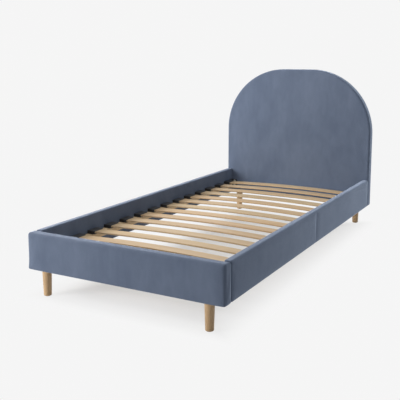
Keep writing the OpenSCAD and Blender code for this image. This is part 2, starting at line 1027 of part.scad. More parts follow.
headboard_cover();
headboard_foam();
headboard_face_board();
headboard_bottom_rail();
headboard_post(-1);  // headboard_left_post
headboard_post(1);  // headboard_right_post
headboard_middle_rail();
headboard_middle_stile();
headboard_arch_rib();
headboard_back_cloth();
footboard_cover();
footboard_foam();
footboard_face_board();
footboard_back_board();
footboard_bottom_rail();
footboard_top_rail();
footboard_post(-1);  // footboard_left_post
footboard_post(1);  // footboard_right_post
footboard_middle_stile();
rail_cover(-1);  // left_rail_cover
rail_foam(-1);  // left_rail_foam
rail_board(-1);  // left_rail_board
ledger(-1);  // left_ledger
rail_cover(1);  // right_rail_cover
rail_foam(1);  // right_rail_foam
rail_board(1);  // right_rail_board
ledger(1);  // right_ledger
slat_holders(-1);  // left_slat_holders
slat_holders(1);  // right_slat_holders
leg(-1, -1);  // front_left_leg
leg(1, -1);  // front_right_leg
leg(-1, 1);  // rear_left_leg
leg(1, 1);  // rear_right_leg
leg_glides();
leg_bolts();
bracket(-1, -1);  // front_left_bracket
bracket(1, -1);  // front_right_bracket
bracket(-1, 1);  // rear_left_bracket
bracket(1, 1);  // rear_right_bracket
board_bolts();
rail_bolts();
bolt_washers();
t_nuts();
ledger_screws();
for (number = [1:slat_count])
    slat(number);
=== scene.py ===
import math

import bmesh
import bpy
from mathutils import Matrix, Quaternion, Vector, noise


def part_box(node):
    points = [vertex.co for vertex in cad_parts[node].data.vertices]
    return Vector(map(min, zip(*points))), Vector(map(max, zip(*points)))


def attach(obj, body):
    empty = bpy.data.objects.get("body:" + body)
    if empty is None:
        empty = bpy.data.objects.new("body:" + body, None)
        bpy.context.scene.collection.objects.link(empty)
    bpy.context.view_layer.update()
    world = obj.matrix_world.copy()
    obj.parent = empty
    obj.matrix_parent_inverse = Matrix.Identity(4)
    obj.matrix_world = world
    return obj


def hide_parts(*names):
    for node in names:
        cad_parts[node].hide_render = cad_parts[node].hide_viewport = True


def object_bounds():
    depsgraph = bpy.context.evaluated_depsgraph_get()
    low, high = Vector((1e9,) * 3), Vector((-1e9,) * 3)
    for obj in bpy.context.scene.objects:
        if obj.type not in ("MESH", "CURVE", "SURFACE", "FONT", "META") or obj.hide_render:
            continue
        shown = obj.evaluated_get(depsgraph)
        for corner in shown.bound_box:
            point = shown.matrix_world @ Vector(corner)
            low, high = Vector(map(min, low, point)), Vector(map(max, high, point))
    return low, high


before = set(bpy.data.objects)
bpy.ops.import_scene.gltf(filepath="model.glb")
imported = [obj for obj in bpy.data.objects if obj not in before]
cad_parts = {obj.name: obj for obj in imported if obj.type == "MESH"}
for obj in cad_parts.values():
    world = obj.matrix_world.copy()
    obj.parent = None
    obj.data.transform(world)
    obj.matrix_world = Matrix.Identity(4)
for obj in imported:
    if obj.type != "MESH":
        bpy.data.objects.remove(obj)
cad_low, cad_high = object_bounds()
scene = bpy.context.scene


# Camera: it stands off the foot end, to the right and a little above the headboard, and looks
# down along the bed. Its place comes from a fit to the edges of the frame in the photograph.

camera = bpy.data.objects.new("camera", bpy.data.cameras.new("camera"))
scene.collection.objects.link(camera)
camera.location = (1.588, -3.200, 1.060)
camera.rotation_euler = (math.radians(90 - 8.82), 0, math.radians(28.90))
camera.data.sensor_width = 36
camera.data.lens = 61.28
camera.data.shift_y = -0.1
scene.camera = camera
scene.view_settings.view_transform = "Standard"


# Studio: two soft boxes on the left, one overhead and one behind on the right, and a little
# light from all round. The floor keeps its shading under the object and fades, between two
# distances from the object's outline, into a backdrop of one even white.

STUDIO_WHITE = (0.915, 0.915, 0.915, 1)
FADE_START, FADE_END = -0.24, 0.06
LEAST_EVEN = 0.42


def shader_node(tree, kind, inputs=None, **settings):
    """Adds a shader node. An input is given by its name or number, as a value or a socket."""
    made = tree.nodes.new("ShaderNode" + kind)
    for setting, value in settings.items():
        setattr(made, setting, value)
    for socket, value in (inputs or {}).items():
        if isinstance(value, bpy.types.NodeSocket):
            tree.links.new(value, made.inputs[socket])
        else:
            made.inputs[socket].default_value = value
    return made


def seen_directly(tree):
    """1 for what the camera sees, also in a reflection or through glass, and 0 for light."""
    path = shader_node(tree, "LightPath")
    first = shader_node(tree, "Math", {0: path.outputs["Is Camera Ray"],
                                       1: path.outputs["Is Glossy Ray"]}, operation="MAXIMUM")
    return shader_node(tree, "Math", {0: first.outputs[0],
                                      1: path.outputs["Is Transmission Ray"]},
                       operation="MAXIMUM").outputs[0]


def finish_mesh(name, bm, smooth=True):
    """Turns a bmesh into an object that sits at the origin."""
    mesh = bpy.data.meshes.new(name)
    bmesh.ops.recalc_face_normals(bm, faces=bm.faces)
    bm.to_mesh(mesh)
    bm.free()
    if smooth:
        mesh.shade_smooth()
    else:
        mesh.shade_flat()
    piece = bpy.data.objects.new(name, mesh)
    scene.collection.objects.link(piece)
    return piece


bm = bmesh.new()
bmesh.ops.create_circle(bm, cap_ends=True, segments=96, radius=9)
floor = finish_mesh("floor", bm, smooth=False)
if floor.data.polygons[0].normal.z < 0:
    floor.data.flip_normals()

floor_paint = bpy.data.materials.new("studio_floor")
floor_paint.use_nodes = True
tree = floor_paint.node_tree
tree.nodes.clear()
place = shader_node(tree, "TexCoord")
beside = shader_node(tree, "VectorMath", {0: place.outputs["Object"]}, operation="ABSOLUTE")
beside = shader_node(tree, "VectorMath", {0: beside.outputs[0], 1: cad_high},
                     operation="SUBTRACT")
parts = shader_node(tree, "SeparateXYZ", {0: beside.outputs[0]})
away = shader_node(tree, "Math", {0: parts.outputs["X"], 1: parts.outputs["Y"]},
                   operation="MAXIMUM")
fade = shader_node(tree, "MapRange", {"Value": away.outputs[0], "From Min": FADE_START,
                                      "From Max": FADE_END, "To Min": LEAST_EVEN,
                                      "To Max": 1.0}, interpolation_type="SMOOTHSTEP")
share = shader_node(tree, "Math", {0: fade.outputs[0], 1: seen_directly(tree)},
                    operation="MULTIPLY")
matt = shader_node(tree, "BsdfDiffuse", {"Color": (0.86, 0.86, 0.86, 1)})
even = shader_node(tree, "Emission", {"Color": STUDIO_WHITE, "Strength": 1})
both = shader_node(tree, "MixShader", {0: share.outputs[0], 1: matt.outputs[0],
                                       2: even.outputs[0]})
shader_node(tree, "OutputMaterial", {"Surface": both.outputs[0]})
floor.data.materials.append(floor_paint)

world = bpy.data.worlds.new("studio")
world.use_nodes = True
scene.world = world
tree = world.node_tree
tree.nodes.clear()
glow = shader_node(tree, "Background", {"Color": (0.97, 0.99, 1, 1), "Strength": 0.15})
backdrop = shader_node(tree, "Background", {"Color": STUDIO_WHITE, "Strength": 1})
both = shader_node(tree, "MixShader", {0: seen_directly(tree), 1: glow.outputs[0],
                                       2: backdrop.outputs[0]})
shader_node(tree, "OutputWorld", {"Surface": both.outputs[0]})


def add_lamp(name, place, aim, width, height, power, colour):
    """Soft box: a large flat lamp that shines from one place at another."""
    lamp = bpy.data.objects.new(name, bpy.data.lights.new(name, "AREA"))
    scene.collection.objects.link(lamp)
    lamp.data.shape = "RECTANGLE"
    lamp.data.size = width
    lamp.data.size_y = height
    lamp.data.energy = power
    lamp.data.color = colour
    lamp.location = place
    lamp.rotation_euler = (Vector(aim) - Vector(place)).to_track_quat("-Z", "Y").to_euler()


add_lamp("low_lamp", (-2.2, -3.2, 0.9), (0.0, -0.8, 0.2), 1.4, 1.2, 78, (1.0, 0.98, 0.96))
add_lamp("head_lamp", (-1.9, -0.3, 1.5), (0.0, 0.6, 0.6), 1.2, 1.2, 38, (1.0, 0.99, 0.98))
add_lamp("rear_lamp", (2.2, 4.6, 1.4), (0.45, 0.3, 0.2), 1.6, 1.4, 85, (0.88, 0.95, 1.0))
add_lamp("top_lamp", (0.2, 0.2, 3.6), (0.0, 0.0, 0.3), 2.4, 3.2, 48, (1.0, 1.0, 1.0))


# Headboard timber: planed softwood rails and posts, glued and stapled together, with a wide
# plywood rib that carries the arch and a thin plywood board over the whole front.

AXES = {"x": 0, "y": 1, "z": 2}


def new_material(name, roughness, metallic=0.0, specular=0.5):
    """A material with its shader, and the object's own coordinates to draw on."""
    made = bpy.data.materials.new(name)
    made.use_nodes = True
    shader = made.node_tree.nodes["Principled BSDF"]
    shader.inputs["Roughness"].default_value = roughness
    shader.inputs["Metallic"].default_value = metallic
    shader.inputs["Specular IOR Level"].default_value = specular
    place = shader_node(made.node_tree, "TexCoord").outputs["Object"]
    return made, made.node_tree, shader, place


def ramp(tree, value, *stops):
    """Colours between stops, each of a position from 0 to 1 and a colour."""
    made = shader_node(tree, "ValToRGB", {"Fac": value})
    points = made.color_ramp.elements
    while len(points) < len(stops):
        points.new(0.5)
    for point, (position, colour) in zip(points, stops):
        point.position = position
        point.color = (*colour, 1)
    return made.outputs["Color"]


def relief(tree, shader, height, distance, strength=1.0):
    """Bump of a given depth in metres."""
    made = shader_node(tree, "Bump", {"Height": height, "Distance": distance,
                                      "Strength": strength})
    tree.links.new(made.outputs["Normal"], shader.inputs["Normal"])


def sawn_wood(name, along, heart, early, late, ring, roughness=0.55, fibre=0.10):
    """Wood with growth rings round a line through `heart` that runs along an axis."""
    made, tree, shader, place = new_material(name, roughness, specular=0.35)
    lean = [0.0, 0.0, 0.0]
    lean[(AXES[along] + 1) % 3] = 0.035
    shift = shader_node(tree, "VectorMath", {0: place, 1: heart}, operation="SUBTRACT")
    turned = shader_node(tree, "Mapping", {"Vector": shift.outputs[0], "Rotation": lean})
    wavy = [5.0, 5.0, 5.0]
    wavy[AXES[along]] = 0.9
    stretched = shader_node(tree, "Mapping", {"Vector": turned.outputs[0], "Scale": wavy})
    wander = shader_node(tree, "TexNoise", {"Vector": stretched.outputs[0], "Scale": 1.0,
                                            "Detail": 2.0})
    offset = shader_node(tree, "VectorMath", {0: wander.outputs["Color"],
                                              1: (0.012, 0.012, 0.012)}, operation="MULTIPLY")
    bent = shader_node(tree, "VectorMath", {0: turned.outputs[0], 1: offset.outputs[0]},
                       operation="ADD")
    rings = shader_node(tree, "TexWave", {"Vector": bent.outputs[0],
                                          "Scale": 2 * math.pi / (20 * ring)},
                        wave_type="RINGS", rings_direction=along.upper(), wave_profile="SAW")
    thin = [420.0, 420.0, 420.0]
    thin[AXES[along]] = 9.0
    lengthwise = shader_node(tree, "Mapping", {"Vector": place, "Scale": thin})
    fibres = shader_node(tree, "TexNoise", {"Vector": lengthwise.outputs[0], "Scale": 1.0,
                                            "Detail": 3.0, "Roughness": 0.6})
    grain = ramp(tree, rings.outputs["Fac"], (0.0, early), (0.62, early), (0.90, late),
                 (1.0, early))
    streaks = ramp(tree, fibres.outputs["Fac"], (0.30, (1 - fibre,) * 3), (0.70, (1.0,) * 3))
    shade = shader_node(tree, "MixRGB", {"Fac": 1.0, "Color1": grain, "Color2": streaks},
                        blend_type="MULTIPLY")
    tree.links.new(shade.outputs["Color"], shader.inputs["Base Color"])
    relief(tree, shader, fibres.outputs["Fac"], 0.0002, 0.5)
    return made


def dress(material, *nodes):
    """Gives CAD nodes their material."""
    for name in nodes:
        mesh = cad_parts[name].data
        mesh.materials.clear()
        mesh.materials.append(material)


def heart_near(node, along, depth, aside=0.0):
    """A line beside a board for its growth rings to run round, `depth` metres off it."""
    low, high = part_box(node)
    heart = (low + high) / 2
    sides = [k for k in range(3) if k != AXES[along]]
    heart[sides[0]] += aside
    heart[sides[1]] -= depth
    return heart


PINE_EARLY, PINE_LATE = (0.74, 0.56, 0.34), (0.55, 0.36, 0.18)


def dress_in_pine(node, along, depth, aside=0.0):
    """Gives a softwood member its own piece of grain."""
    dress(sawn_wood("pine_" + node, along, heart_near(node, along, depth, aside),
                    PINE_EARLY, PINE_LATE, ring=0.0034), node)


dress_in_pine("headboard_bottom_rail", "x", 0.055)
dress_in_pine("headboard_middle_rail", "x", 0.080, 0.02)
dress_in_pine("headboard_left_post", "z", 0.050, 0.03)
dress_in_pine("headboard_right_post", "z", 0.065, -0.02)
dress_in_pine("headboard_middle_stile", "z", 0.045)


def plywood(name, along, veneer, pale, dark, ply):
    """Plywood: veneers that alternate through the sheet, whose thickness is along y."""
    made, tree, shader, place = new_material(name, 0.6, specular=0.3)
    parts = shader_node(tree, "SeparateXYZ", {0: place})
    layer = shader_node(tree, "Math", {0: parts.outputs["Y"], 1: 2 * ply}, operation="PINGPONG")
    height = shader_node(tree, "Math", {0: layer.outputs[0], 1: 2 * ply}, operation="DIVIDE")
    edges = ramp(tree, height.outputs[0], (0.0, pale), (0.42, pale), (0.5, dark), (1.0, dark))
    thin = [260.0, 260.0, 260.0]
    thin[AXES[along]] = 7.0
    lengthwise = shader_node(tree, "Mapping", {"Vector": place, "Scale": thin})
    fibres = shader_node(tree, "TexNoise", {"Vector": lengthwise.outputs[0], "Scale": 1.0,
                                            "Detail": 3.0})
    tint = ramp(tree, fibres.outputs["Fac"], (0.3, veneer), (0.7, (1.0,) * 3))
    shade = shader_node(tree, "MixRGB", {"Fac": 1.0, "Color1": edges, "Color2": tint},
                        blend_type="MULTIPLY")
    tree.links.new(shade.outputs["Color"], shader.inputs["Base Color"])
    relief(tree, shader, fibres.outputs["Fac"], 0.0002, 0.4)
    return made


BOARD_PALE, BOARD_DARK = (0.68, 0.52, 0.33), (0.50, 0.34, 0.19)
dress(plywood("plywood_rib", "x", (0.86, 0.84, 0.80), BOARD_PALE, BOARD_DARK, ply=0.0014),
      "headboard_arch_rib")
dress(plywood("plywood_headboard", "z", (0.88, 0.85, 0.81), BOARD_PALE, BOARD_DARK, ply=0.001),
      "headboard_face_board")


# Headboard padding: a sheet of foam glued over the face board and turned round its edge, so
# that no hard corner shows through the cover.

def foam(name):
    """Open-cell foam: a pale yellow mass of small pores."""
    made, tree, shader, place = new_material(name, 0.95, specular=0.1)
    cells = shader_node(tree, "TexVoronoi", {"Vector": place, "Scale": 700.0})
    clouds = shader_node(tree, "TexNoise", {"Vector": place, "Scale": 9.0, "Detail": 2.0})
    pores = ramp(tree, cells.outputs["Distance"], (0.0, (0.62, 0.55, 0.34)),
                 (0.45, (0.87, 0.82, 0.60)))
    aged = ramp(tree, clouds.outputs["Fac"], (0.3, (0.94, 0.92, 0.86)), (0.7, (1.0,) * 3))
    shade = shader_node(tree, "MixRGB", {"Fac": 1.0, "Color1": pores, "Color2": aged},
                        blend_type="MULTIPLY")
    tree.links.new(shade.outputs["Color"], shader.inputs["Base Color"])
    relief(tree, shader, cells.outputs["Distance"], 0.0008)
    return made


foam_yellow = foam("padding_foam")

PRESSED = 0.65
SHORT_BELOW, SHORT_BEHIND, SHORT_AT_ENDS = 0.0025, 0.005, 0.004


def foam_piece(name, node, pressed, cuts=()):
    """The foam as cut and glued, a little thinner than it was where the cover presses it, and
    a little short of the edges that the cover is pulled round. `pressed` moves a point of its
    surface, and `cuts` are places where the cover is sewn."""
    bm = bmesh.new()
    bm.from_mesh(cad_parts[node].data)
    bmesh.ops.remove_doubles(bm, verts=bm.verts, dist=1e-5)
    for place in cuts:
        bmesh.ops.bisect_plane(bm, geom=[*bm.verts, *bm.edges, *bm.faces], dist=1e-6,
                               plane_co=(0, place, 0), plane_no=(0, 1, 0))
    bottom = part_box(node)[0].z
    for vert in bm.verts:
        vert.co = pressed(vert.co)
        vert.co.z += SHORT_BELOW * (vert.co.z < bottom + 0.0005)
    piece = finish_mesh(name, bm, smooth=False)
    piece.data.materials.append(foam_yellow)
    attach(piece, "root")
    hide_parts(node)


ARCH_RADIUS = 0.400
outer_low, outer_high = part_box("headboard_cover")
board_low, board_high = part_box("headboard_face_board")


def pressed_on_arch(point):
    """Draws a point of the headboard's foam towards the face board that it lies on."""
    sign = math.copysign(1, point.x)
    turn_x, spring = outer_high.x - ARCH_RADIUS, outer_high.z - ARCH_RADIUS
    out, up = max(0, abs(point.x) - turn_x), max(0, point.z - spring)
    far = math.hypot(out, up)
    board = board_high.x - turn_x
    moved = point.copy()
    if far > board:
        nearer = (board + PRESSED * (far - board)) / far
        moved.x = sign * (turn_x + out * nearer)
        moved.z = point.z - up + up * nearer
    moved.y = max(point.y, board_low.y - PRESSED * (board_low.y - point.y))
    moved.y = min(moved.y, outer_high.y - SHORT_BEHIND)
    return moved


foam_piece("headboard_padding", "headboard_foam", pressed_on_arch)


# Headboard upholstery: one piece of slate velvet pulled over the foam, eased round the two
# large corners, turned onto the back and stapled there. The foam fills it out a little.

VELVET_THICK = 0.0015
CELL = 0.014
TURN_CELLS = 44
TURN_IN, TURN_IN_ROWS = 0.045, 5
LOWEST_CELL = TURN_IN + 0.006
FRONT_ROUND, BACK_ROUND, BOTTOM_ROUND = 0.012, 0.004, 0.003
FRONT_RING = 0.008
PLEATS, PLEAT_DEPTH, PLEAT_LENGTH = 13, 0.0016, 0.016


def is_at(vert, axis, place):
    return abs(vert.co[axis] - place) < 2e-5


def between(low, high, size):
    """Places that divide a length into equal cells of about a size."""
    count = max(1, round((high - low) / size))
    return [low + (high - low) * k / count for k in range(1, count)]


def arch_sheet(inset, y, bottom, first):
    """The headboard's outline as one flat face: two straight sides, two quarter turns and a
    straight top, at a distance inside the real outline. The lowest cell of a side is `first`
    high, so that a hem drawn inside the outline passes none of its points."""
    turn_x, spring = outer_high.x - ARCH_RADIUS, outer_high.z - ARCH_RADIUS
    up = round((spring - bottom - first) / CELL)
    rise = (spring - bottom - first) / up
    over = round(2 * turn_x / CELL)
    bm = bmesh.new()
    start = tip = bm.verts.new((inset - outer_high.x, y, bottom))
    for centre_x, angle, step, count in (
            (0, 0, (0, 0, first), 1),
            (0, 0, (0, 0, rise), up),
            (-turn_x, math.pi / 2, (0, 0, 0), TURN_CELLS),
            (0, 0, (2 * turn_x / over, 0, 0), over),
            (turn_x, math.pi / 2, (0, 0, 0), TURN_CELLS),
            (0, 0, (0, 0, -rise), up),
            (0, 0, (0, 0, -first), 1)):
        spun = bmesh.ops.spin(bm, geom=[tip], cent=(centre_x, y, spring), axis=(0, 1, 0),
                              dvec=step, angle=angle, steps=count, use_merge=False)
        tip = spun["geom_last"][0]
    bm.edges.new((tip, start))
    bmesh.ops.edgeloop_fill(bm, edges=bm.edges)
    return bm


def round_edges(bm, radius, segments, chosen):
    """Rounds the edges that `chosen` picks out."""
    bmesh.ops.bevel(bm, geom=[e for e in bm.edges if chosen(e)], offset=radius,
                    offset_type="OFFSET", affect="EDGES", segments=segments, profile=0.5,
                    material=-1, clamp_overlap=False)


def cut_across(bm, axis, places, chosen=None):
    """Cuts the mesh, or only its chosen faces, by a plane at each place along an axis."""
    normal = Vector((0, 0, 0))
    normal[axis] = 1
    for place in places:
        faces = [f for f in bm.faces if chosen is None or chosen(f)]
        edges = {e for f in faces for e in f.edges}
        verts = {v for f in faces for v in f.verts}
        bmesh.ops.bisect_plane(bm, geom=[*faces, *edges, *verts], dist=1e-5,
                               plane_co=normal * place, plane_no=normal)


def widest_face(bm, axis, place):
    """The largest of the flat faces that lie at a place along an axis."""
    return max((f for f in bm.faces if all(is_at(v, axis, place) for v in f.verts)),
               key=lambda f: f.calc_area())


PUSH = 3.0
PUSH_FRAMES = 15
INTO_FOAM = 0.0005


def swell(piece, held, most):
    """The foam pushes the cover out. `held` says where it is stapled or sewn down, and no
    point ends further than about `most` from where it was cut, or deeper than the foam."""
    group = piece.vertex_groups.new(name="held")
    group.add([v.index for v in piece.data.vertices if held(v.co)], 1.0, "REPLACE")
    cloth = piece.modifiers.new("cloth", "CLOTH")
    cloth.settings.vertex_group_mass = group.name
    cloth.settings.quality = 4
    cloth.settings.mass = 0.4
    cloth.settings.use_pressure = True
    cloth.settings.uniform_pressure_force = PUSH
    cloth.settings.effector_weights.gravity = 0
    for number in range(1, PUSH_FRAMES + 1):
        scene.frame_set(number)
    blown = piece.evaluated_get(bpy.context.evaluated_depsgraph_get())
    places = [v.co.copy() for v in blown.data.vertices]
    piece.modifiers.remove(cloth)
    scene.frame_set(1)
    for vert, place in zip(piece.data.vertices, places):
        step = place - vert.co
        if step.length < 1e-7:
            continue
        step *= most * math.tanh(step.length / most) / step.length
        depth = -step.dot(vert.normal)
        vert.co += step + vert.normal * max(0, depth - INTO_FOAM)


def subdivide(piece):
    """Subdivision surface, applied, so that finer creases can be worked in afterwards."""
    modifier = piece.modifiers.new("subdivide", "SUBSURF")
    modifier.levels = modifier.render_levels = 1
    shaped = piece.evaluated_get(bpy.context.evaluated_depsgraph_get())
    fine = bpy.data.meshes.new_from_object(shaped)
    piece.modifiers.clear()
    piece.vertex_groups.clear()
    piece.data = fine
    fine.shade_smooth()


def velvet(name):
    """Short-pile velvet: nap that lies unevenly, in soft patches and faint upright streaks,
    a fine pile, and a sheen where it is seen edge on."""
    made, tree, shader, place = new_material(name, 0.85, specular=0.25)
    shader.inputs["Sheen Weight"].default_value = 1.0
    shader.inputs["Sheen Roughness"].default_value = 0.3
    shader.inputs["Sheen Tint"].default_value = (0.69, 0.78, 0.97, 1)
    upright = shader_node(tree, "Mapping", {"Vector": place, "Scale": (1.0, 1.0, 0.45)})
    patches = shader_node(tree, "TexNoise", {"Vector": upright.outputs[0], "Scale": 5.0,
                                             "Detail": 3.0, "Distortion": 0.8})
    streaks = shader_node(tree, "TexNoise", {"Vector": upright.outputs[0], "Scale": 34.0,
                                             "Detail": 4.0, "Distortion": 0.5})
    pile = shader_node(tree, "TexNoise", {"Vector": place, "Scale": 1400.0, "Detail": 2.0})
    broad = ramp(tree, patches.outputs["Fac"], (0.32, (0.119, 0.152, 0.223)),
                 (0.68, (0.149, 0.185, 0.262)))
    brushed = ramp(tree, streaks.outputs["Fac"], (0.34, (0.92, 0.93, 0.935)), (0.64, (1.0,) * 3))
    fine = ramp(tree, pile.outputs["Fac"], (0.30, (0.84, 0.85, 0.86)), (0.70, (1.08,) * 3))
    shade = shader_node(tree, "MixRGB", {"Fac": 1.0, "Color1": broad, "Color2": brushed},
                        blend_type="MULTIPLY")
    shade = shader_node(tree, "MixRGB", {"Fac": 1.0, "Color1": shade.outputs[0],
                                         "Color2": fine}, blend_type="MULTIPLY")
    tree.links.new(shade.outputs["Color"], shader.inputs["Base Color"])
    relief(tree, shader, pile.outputs["Fac"], 0.0006, 0.6)
    return made


slate_velvet = velvet("slate_velvet")


def upholster(piece, node):
    """Gives a shaped cover its velvet and its thickness, and fixes it to the frame."""
    piece.data.materials.append(slate_velvet)
    wall = piece.modifiers.new("thickness", "SOLIDIFY")
    wall.thickness = VELVET_THICK
    wall.offset = -1
    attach(piece, "root")
    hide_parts(node)


bm = arch_sheet(0, outer_low.y, outer_low.z, LOWEST_CELL)
grown = bmesh.ops.extrude_face_region(bm, geom=bm.faces[:])
bmesh.ops.translate(bm, vec=(0, outer_high.y - outer_low.y, 0),
                    verts=[v for v in grown["geom"] if isinstance(v, bmesh.types.BMVert)])
bmesh.ops.recalc_face_normals(bm, faces=bm.faces)
for y, radius, segments in ((outer_low.y, FRONT_ROUND, 5), (outer_high.y, BACK_ROUND, 2)):
    round_edges(bm, radius, segments, lambda e: all(is_at(v, 1, y) for v in e.verts)
                and not all(is_at(v, 2, outer_low.z) for v in e.verts))
round_edges(bm, BOTTOM_ROUND, 2, lambda e: all(is_at(v, 2, outer_low.z) for v in e.verts))
back_face = widest_face(bm, 1, outer_high.y)
for row in range(TURN_IN_ROWS):
    bmesh.ops.inset_region(bm, faces=[back_face], thickness=TURN_IN / TURN_IN_ROWS,
                           use_even_offset=True)
bmesh.ops.delete(bm, geom=[back_face], context="FACES")
cut_across(bm, 2, between(outer_low.z, outer_low.z + LOWEST_CELL, CELL))
front_face = widest_face(bm, 1, outer_low.y)
bmesh.ops.inset_region(bm, faces=[front_face], thickness=FRONT_RING, use_even_offset=True)


def on_flat_front(face):
    return all(is_at(v, 1, outer_low.y) for v in face.verts) and face.calc_area() > 1e-4


def round_the_bottom(face):
    return all(v.co.z < outer_low.z + LOWEST_CELL + 0.001 for v in face.verts)


def on_the_back(point):
    return point.y > outer_high.y - 0.003


cut_across(bm, 0, between(outer_low.x, outer_high.x, CELL),
           lambda f: on_flat_front(f) or round_the_bottom(f))
cut_across(bm, 2, between(outer_low.z, outer_high.z, CELL), on_flat_front)
cut_across(bm, 1, between(outer_low.y + FRONT_ROUND, outer_high.y - BACK_ROUND, CELL))
headboard = finish_mesh("headboard_upholstery", bm)
swell(headboard, lambda p: on_the_back(p) or p.z < outer_low.z + 0.002, 0.003)
subdivide(headboard)


def turn_of_arch(point):
    """How far a point is inside the outline, and its angle round the nearer large corner."""
    turn_x, spring = outer_high.x - ARCH_RADIUS, outer_high.z - ARCH_RADIUS
    out, up = max(0, abs(point.x) - turn_x), max(0, point.z - spring)
    return ARCH_RADIUS - math.hypot(out, up), math.atan2(up, out)


for vert in headboard.data.vertices:
    inside, angle = turn_of_arch(vert.co)
    if on_the_back(vert.co) and 0.02 < angle < 1.55:
        fold = 1 - abs(math.sin(angle * 2 * PLEATS + 0.8 * math.sin(angle * 9)))
        vert.co.y -= PLEAT_DEPTH * fold ** 3 * min(1, max(0, inside) / PLEAT_LENGTH)
upholster(headboard, "headboard_cover")


# Back cloth: thin black spun-bonded cloth over the open back of the headboard, hemmed, and
# stapled all round. It dips a little between the timbers behind it.

CLOTH_INSET, CLOTH_THICK, HEM = 0.020, 0.0005, 0.012
DIP, SLACK, SLOPE = 0.0032, 0.0012, 0.03
RIB_EDGE = 0.0665


def spun_bond(name):
    """Black non-woven cloth, pressed with a fine grid of dimples."""
    made, tree, shader, place = new_material(name, 0.8, specular=0.3)
    shader.inputs["Sheen Weight"].default_value = 0.15
    dimples = shader_node(tree, "TexVoronoi", {"Vector": place, "Scale": 420.0,
                                               "Randomness": 0.15})
    fibres = shader_node(tree, "TexNoise", {"Vector": place, "Scale": 260.0, "Detail": 4.0})
    dusty = shader_node(tree, "TexNoise", {"Vector": place, "Scale": 5.0, "Detail": 3.0})
    thread = ramp(tree, fibres.outputs["Fac"], (0.35, (0.020, 0.020, 0.022)),
                  (0.65, (0.040, 0.040, 0.043)))
    pressed = ramp(tree, dimples.outputs["Distance"], (0.15, (0.6,) * 3), (0.45, (1.0,) * 3))
    faded = ramp(tree, dusty.outputs["Fac"], (0.35, (1.0,) * 3), (0.75, (1.35, 1.33, 1.30)))
    shade = shader_node(tree, "MixRGB", {"Fac": 1.0, "Color1": thread, "Color2": pressed},
                        blend_type="MULTIPLY")
    shade = shader_node(tree, "MixRGB", {"Fac": 1.0, "Color1": shade.outputs[0],
                                         "Color2": faded}, blend_type="MULTIPLY")
    tree.links.new(shade.outputs["Color"], shader.inputs["Base Color"])
    relief(tree, shader, dimples.outputs["Distance"], 0.0003, 0.7)
    return made


cloth_low, cloth_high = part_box("headboard_back_cloth")
post_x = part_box("headboard_right_post")[0].x
stile_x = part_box("headboard_middle_stile")[1].x
rail_low, rail_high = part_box("headboard_middle_rail")
sill = max(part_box("headboard_bottom_rail")[1].z, outer_low.z + TURN_IN)


def smooth_step(value, low, high):
    t = min(1, max(0, (value - low) / (high - low)))
    return t * t * (3 - 2 * t)


def over_opening(point):
    """1 where nothing is behind the back cloth, 0 over a timber, and a slope between."""
    inside = turn_of_arch(point)[0]
    x, z = abs(point.x), point.z
    lower = (smooth_step(post_x - x, 0, SLOPE) * smooth_step(x - stile_x, 0, SLOPE)
             * smooth_step(z - sill, 0, SLOPE) * smooth_step(rail_low.z - z, 0, SLOPE))
    upper = smooth_step(inside - RIB_EDGE, 0, SLOPE) * smooth_step(z - rail_high.z, 0, SLOPE)
    return max(lower, upper)


bm = arch_sheet(CLOTH_INSET, cloth_high.y, cloth_low.z, HEM + 0.002)
cloth_face = bm.faces[:][0]
for row in range(2):
    bmesh.ops.inset_region(bm, faces=[cloth_face], thickness=HEM / 2, use_even_offset=True)
for axis in (0, 2):
    cut_across(bm, axis, between(cloth_low[axis], cloth_high[axis], CELL),
               lambda f: f.calc_area() > 1e-4)
back_cloth = finish_mesh("headboard_dust_cloth", bm)
if back_cloth.data.polygons[0].normal.y < 0:
    back_cloth.data.flip_normals()
subdivide(back_cloth)
for vert in back_cloth.data.vertices:
    inside = turn_of_arch(vert.co)[0] if vert.co.z > rail_high.z else 1
    edge = min(inside - CLOTH_INSET, cloth_high.x - abs(vert.co.x), vert.co.z - cloth_low.z)
    slack = SLACK * noise.noise(vert.co * 9.0)
    vert.co.y -= CLOTH_THICK * smooth_step(edge, HEM - 0.003, HEM)
    vert.co.y -= over_opening(vert.co) * (DIP + slack)
back_cloth.data.materials.append(spun_bond("black_back_cloth"))
wall = back_cloth.modifiers.new("thickness", "SOLIDIFY")
wall.thickness = CLOTH_THICK
wall.offset = -1
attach(back_cloth, "root")
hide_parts("headboard_back_cloth")


def bright_zinc(name, roughness=0.32):
    """Zinc plate: a bright grey metal with a faint blue and yellow cast."""
    made, tree, shader, place = new_material(name, roughness, metallic=1.0)
    cast = shader_node(tree, "TexNoise", {"Vector": place, "Scale": 90.0, "Detail": 3.0})
    fine = shader_node(tree, "TexNoise", {"Vector": place, "Scale": 1500.0, "Detail": 2.0})
    tone = ramp(tree, cast.outputs["Fac"], (0.35, (0.60, 0.61, 0.63)), (0.65, (0.68, 0.66, 0.59)))
    tree.links.new(tone, shader.inputs["Base Color"])
    spread = shader_node(tree, "MapRange", {"Value": fine.outputs["Fac"],
                                            "To Min": roughness - 0.08,
                                            "To Max": roughness + 0.12})
    tree.links.new(spread.outputs[0], shader.inputs["Roughness"])
    relief(tree, shader, fine.outputs["Fac"], 0.00005, 0.5)
    return made


zinc = bright_zinc("bright_zinc")

STAPLE = Vector((0.0010, 0.0006, 0.011))
SUNK = 0.0001
SIDE_GAPS, TURN_GAPS, TOP_GAPS, SILL_GAPS = 9, 13, 5, 20

bm = bmesh.new()
line = CLOTH_INSET + HEM / 2
side_x, top_z, sill_z = outer_high.x - line, outer_high.z - line, cloth_low.z + HEM / 2
turn_x, spring = outer_high.x - ARCH_RADIUS, outer_high.z - ARCH_RADIUS
lowest, sill_end = cloth_low.z + 0.025, side_x - 0.030


